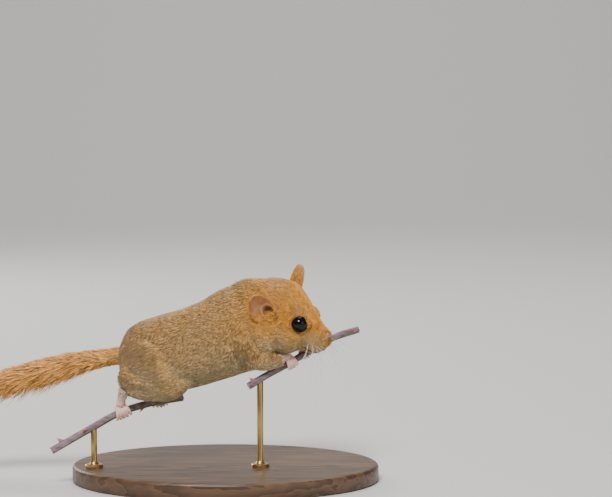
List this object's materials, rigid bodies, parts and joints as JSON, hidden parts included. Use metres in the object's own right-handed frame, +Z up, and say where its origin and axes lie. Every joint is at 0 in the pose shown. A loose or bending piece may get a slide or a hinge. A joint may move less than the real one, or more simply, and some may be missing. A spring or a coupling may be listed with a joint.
{
  "type": "hazel dormouse model",
  "caption": "Life-size still model of a hazel dormouse stretched between two cut bramble stems, on an oval base with slim rods.",
  "frame": {"origin": "centre of the underside of the stand's base", "axes": "+X the way the nose points, +Z up, the animal's right side faces -Y"},
  "size_m": [0.1548, 0.074, 0.0756],
  "materials": {
    "coat": "dense short fur, sandy tan with fine darker streaks, paler beneath",
    "face": "short golden-orange fur",
    "tail": "bushy rust-orange hair with a golden fringe",
    "bare": "fine pink skin with sparse down",
    "eye": "polished black",
    "stem": "ridged mauve-grey bark with a green underside",
    "wood": "oiled dark wood",
    "rod": "satin"
  },
  "bodies": {
    "root": {"head": "face", "eye_right": "eye", "eye_left": "eye", "ear_right": "bare", "ear_left": "bare", "torso": "coat", "neck": "coat", "tail": "tail", "hind_leg_right": "coat", "hind_foot_right": "bare", "hind_leg_left": "coat", "hind_foot_left": "bare", "fore_leg_right": "coat", "fore_foot_right": "bare", "fore_leg_left": "coat", "fore_foot_left": "bare", "perch_rear": "stem", "perch_front": "stem", "stand_base": "wood", "stand_rod_rear": "rod", "stand_rod_front": "rod"}
  },
  "joints": []
}
